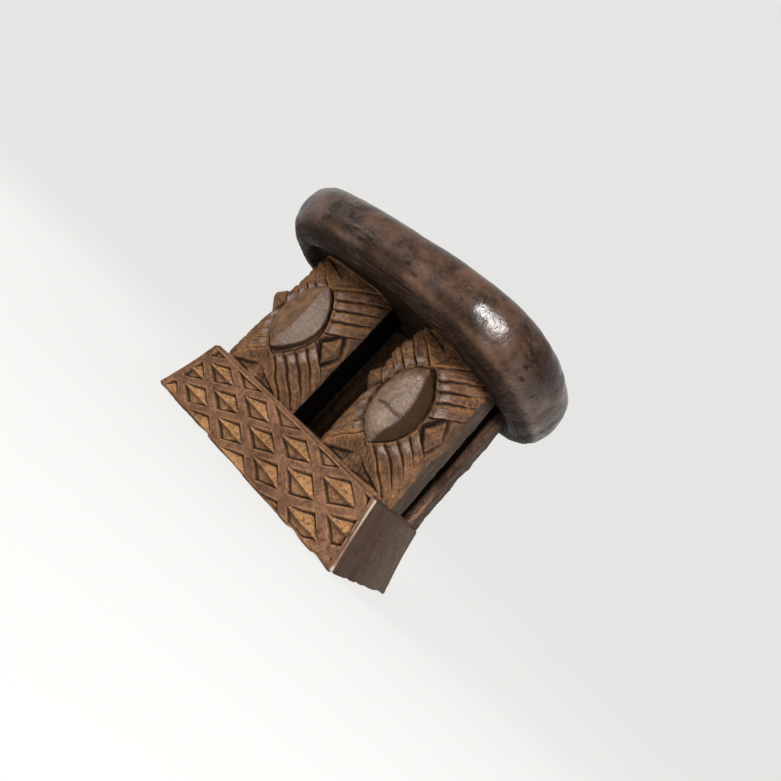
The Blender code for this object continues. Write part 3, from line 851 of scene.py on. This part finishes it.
def top_wood():
    """Very dark wood: glossy, nicked and scuffed on the rim, red-brown in spots, rubbed along
    the arris, greyer under both ends, dull and streaked with the grain below, and darkened by
    painted shade in the creases, at both ends and below the widest line."""
    material = bpy.data.materials.new("top_wood")
    material.use_nodes = True
    tree = material.node_tree
    surface = tree.nodes["Principled BSDF"]
    place = add(tree, "ShaderNodeTexCoord", {}).outputs["Object"]
    lengthwise = {"Vector": place, "Scale": (0.10, 1.0, 1.0)}
    along = add(tree, "ShaderNodeMapping", lengthwise).outputs[0]
    clouds = mottle(tree, place, 34.0, 7.0, 0.68)
    patches = mottle(tree, place, 20.0, 4.0, 0.5)
    specks = mottle(tree, place, 700.0, 4.0, 0.7)
    grain = mottle(tree, along, 620.0, 5.0, 0.6)
    grit = mottle(tree, place, 240.0, 4.0, 0.65)
    colour = blend(tree, between(tree, clouds, 0.41, 0.57), PATINA_BROWN, PATINA_BLACK)
    warm = times(tree, between(tree, patches, 0.5, 0.64), between(tree, grit, 0.42, 0.6))
    colour = blend(tree, times(tree, warm, 0.60), colour, PATINA_RED)
    bits = times(tree, between(tree, specks, 0.58, 0.72), between(tree, clouds, 0.35, 0.6))
    colour = blend(tree, times(tree, bits, 0.7), colour, PATINA_BITS)
    grey = times(tree, mark(tree, "grey"), between(tree, grit, 0.35, 0.62, 0.35, 1.0))
    colour = blend(tree, grey, colour, PATINA_GREY)
    under = blend(tree, between(tree, grain, 0.42, 0.66), UNDER_DARK, UNDER_BROWN)
    colour = blend(tree, mark(tree, "under"), colour, under)
    rub = times(tree, mark(tree, "arris"), between(tree, grit, 0.38, 0.56, 0.25, 1.0))
    colour = blend(tree, times(tree, rub, 0.38), colour, ARRIS_BROWN)
    nicks = times(tree, veins(tree, place, 60.0, 0.016), between(tree, patches, 0.40, 0.54))
    colour = blend(tree, times(tree, nicks, 0.8), colour, TOP_NICKS)
    scuffs = times(tree, veins(tree, along, 90.0, 0.012), between(tree, clouds, 0.46, 0.58))
    colour = blend(tree, times(tree, scuffs, 0.6), colour, TOP_SCUFFS)
    # Painted shade in creases, at both ends and below the widest line.
    colour = blend(tree, mark(tree, "hollow"), colour, TOP_HOLLOW_SHADE)
    tree.links.new(colour, surface.inputs["Base Color"])
    dull = {0: between(tree, grit, 0.3, 0.7, 0.15, 0.32), 1: times(tree, mark(tree, "under"), 0.25)}
    dull = add(tree, "ShaderNodeMath", dull, operation="ADD").outputs[0]
    tree.links.new(dull, surface.inputs["Roughness"])
    shine = between(tree, mark(tree, "under"), 0.0, 1.0, 0.50, 0.12)
    shine = times(tree, shine, between(tree, mark(tree, "hollow"), 0.05, 0.5, 1.0, 0.15))
    tree.links.new(shine, surface.inputs["Specular IOR Level"])
    fine = add(tree, "ShaderNodeBump", {"Height": specks, "Strength": 0.4, "Distance": 0.00016})
    middling = {"Height": grit, "Strength": 0.4, "Distance": 0.0006, "Normal": fine.outputs[0]}
    middling = add(tree, "ShaderNodeBump", middling)
    lines = {"Height": grain, "Strength": 0.3, "Distance": 0.0003, "Normal": middling.outputs[0]}
    tree.links.new(add(tree, "ShaderNodeBump", lines).outputs[0], surface.inputs["Normal"])
    return material


def make_top(material):
    """The top's loops pushed along their normals by a relief in millimetres: adze drift, the
    arris as a bell curve of the turn round the rim, tool streaks below it, less small pits.
    turned is that turn: 0 at the widest line, negative below and positive above."""
    rings, turned = top_rings()
    normal = outward(rings)
    x, y = (rings[..., axis] * 1000 for axis in range(2))
    adze = 0.55 * drift(rings, 0.021, 201) + 0.30 * drift(rings, 0.009, 202)
    adze = adze + 0.10 * drift(rings, 0.0035, 203)
    below = 1 - ease(turned, -0.95, -0.60)
    arris = np.exp(-(((turned - ARRIS_TURN) / ARRIS_HALF_WIDTH) ** 2))
    angle = np.arctan2(y / TOP_HALF_DEPTH, x / TOP_HALF_LENGTH)
    around = np.stack([angle * 9.0, turned * 0.8, angle * 0], axis=-1)
    strokes = drift(around * 6.0, 1.0, 204)
    streaks = drift(np.stack([angle * 3.0, turned * 22.0, angle * 0], axis=-1), 1.0, 205)
    on_field = 1 - ease(turned, -1.9, -1.7)
    cuts = (0.16 * strokes + 0.38 * streaks) * below * (1 - 0.7 * on_field)
    relief = adze * (1 - 0.3 * below) + ARRIS_HEIGHT * arris + cuts
    pits = ease(drift(rings, 0.0026, 206), 0.42, 0.75) * ease(drift(rings, 0.016, 207), 0.0, 0.5)
    relief = relief - PIT_DEPTH * pits
    rings = rings + normal * relief[..., None] / 1000
    proud = relief - softened(relief, 3)
    worn_line = arris * (0.35 + 0.65 * ease(drift(rings, 0.018, 208), -0.25, 0.35))
    worn_line = worn_line * ease(x, -80.0, -40.0)
    ends = ease(np.abs(x), 78.0, 100.0) * ease(-turned, -0.1, 0.8)
    # Painted shade at both ends and below the widest line.
    shade_on_ends_and_below = np.maximum(0.66 * ease(-x, 20.0, 80.0), 0.68 * ease(-turned, 0.10, 0.55))
    shade_on_ends_and_below = np.maximum(shade_on_ends_and_below, 0.60 * ease(x, 70.0, 95.0))
    shade_on_ends_and_below = shade_on_ends_and_below * (0.75 + 0.25 * np.clip(2 * drift(rings, 0.012, 209), -1.0, 1.0))
    painted_shade = ease(-proud, 0.10, 0.35) * 0.6 + shade_on_ends_and_below * (1 - 0.3 * worn_line)
    marks = {
        "under": below,
        "arris": np.clip(worn_line, 0.0, 1.0),
        "grey": np.clip(ends * 0.4, 0.0, 1.0),
        "hollow": np.clip(painted_shade, 0.0, 1.0),
    }
    return closed_surface("top_carving", rings, marks, material)


patina = top_wood()
top = make_top(patina)
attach(top, "root")
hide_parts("top")


# ---------------------------------------------------------------- floor, light and camera
# A plain pale floor in an even pale room, and three soft lamps: a small one beside the
# viewer, a broad one above, and a weak one low at the left. The viewer looks a little
# upwards from the front right, with the head tilted, as if the piece lay on its back.
ROOM_TONE = (0.790, 0.786, 0.772)
FAR_ROOM_TONE = (0.20, 0.20, 0.20)
FLOOR_COLOUR = (0.16, 0.159, 0.156)
FLOOR_GLOW = 0.915
FLOOR_REACH = 60
VIEW_TURN = math.radians(30.14)
VIEW_RISE = math.radians(-6.12)
VIEW_ROLL = math.radians(42.99)
VIEW_DISTANCE = 0.4054
VIEW_TARGET = Vector((0.0, -0.0037, 0.0808))
VIEW_ASIDE = 0.0229
VIEW_ABOVE = 0.0026
VIEW_LENS = 28.607

toward = Vector((
    math.sin(VIEW_TURN) * math.cos(VIEW_RISE),
    -math.cos(VIEW_TURN) * math.cos(VIEW_RISE),
    math.sin(VIEW_RISE),
))
level = (-toward).cross(Vector((0.0, 0.0, 1.0))).normalized()
upright = level.cross(-toward)
view_right = math.cos(VIEW_ROLL) * level + math.sin(VIEW_ROLL) * upright
view_up = -math.sin(VIEW_ROLL) * level + math.cos(VIEW_ROLL) * upright
eye = VIEW_TARGET + toward * VIEW_DISTANCE + view_right * VIEW_ASIDE + view_up * VIEW_ABOVE

camera_data = bpy.data.cameras.new("viewer")
camera_data.sensor_width = 36.0
camera_data.lens = VIEW_LENS
camera_data.clip_start = 0.01
camera = bpy.data.objects.new("viewer", camera_data)
bpy.context.scene.collection.objects.link(camera)
camera.matrix_world = Matrix((
    (view_right.x, view_up.x, toward.x, eye.x),
    (view_right.y, view_up.y, toward.y, eye.y),
    (view_right.z, view_up.z, toward.z, eye.z),
    (0.0, 0.0, 0.0, 1.0),
))
bpy.context.scene.camera = camera


def soft_lamp(name, right, up, near, size, power):
    """A square area lamp placed by its distance right of, above and towards the viewer."""
    data = bpy.data.lights.new(name, "AREA")
    data.shape = "SQUARE"
    data.size = size
    data.energy = power
    lamp = bpy.data.objects.new(name, data)
    place = VIEW_TARGET + view_right * right + view_up * up + toward * near
    lamp.location = place
    lamp.rotation_euler = (place - VIEW_TARGET).to_track_quat("Z", "Y").to_euler()
    bpy.context.scene.collection.objects.link(lamp)
    return lamp


soft_lamp("lamp_by_viewer", right=0.30, up=-0.03, near=0.68, size=0.20, power=6.4)
lamp_above = soft_lamp("lamp_above", right=-0.40, up=0.85, near=0.25, size=0.40, power=6.5)
lamp_above.visible_glossy = False
lamp_low = soft_lamp("lamp_low_left", right=-0.30, up=0.33, near=0.50, size=0.30, power=2.0)
lamp_low.visible_glossy = False

world = bpy.data.worlds.new("room")
bpy.context.scene.world = world
world.use_nodes = True
room = world.node_tree
ray = add(room, "ShaderNodeTexCoord", {}).outputs["Generated"]
facing = {0: ray, 1: tuple(toward)}
facing = add(room, "ShaderNodeVectorMath", facing, operation="DOT_PRODUCT").outputs["Value"]
tone = blend(room, between(room, facing, -0.55, 0.35), ROOM_TONE, FAR_ROOM_TONE)
room.links.new(tone, room.nodes["Background"].inputs["Color"])
bpy.context.scene.view_settings.view_transform = "Standard"

floor_mesh = bpy.data.meshes.new("floor")
floor_corners = [(FLOOR_REACH * a, FLOOR_REACH * b, 0) for a, b in ((-1, -1), (1, -1), (1, 1), (-1, 1))]
floor_mesh.from_pydata(floor_corners, [], [(0, 1, 2, 3)])
floor = bpy.data.objects.new("floor", floor_mesh)
floor_material = bpy.data.materials.new("pale_floor")
floor_material.use_nodes = True
paper = floor_material.node_tree.nodes["Principled BSDF"]
paper.inputs["Base Color"].default_value = (*FLOOR_COLOUR, 1.0)
paper.inputs["Roughness"].default_value = 0.9
paper.inputs["Specular IOR Level"].default_value = 0.0
paper.inputs["Emission Color"].default_value = (*ROOM_TONE, 1.0)
paper.inputs["Emission Strength"].default_value = FLOOR_GLOW
floor_mesh.materials.append(floor_material)
bpy.context.scene.collection.objects.link(floor)
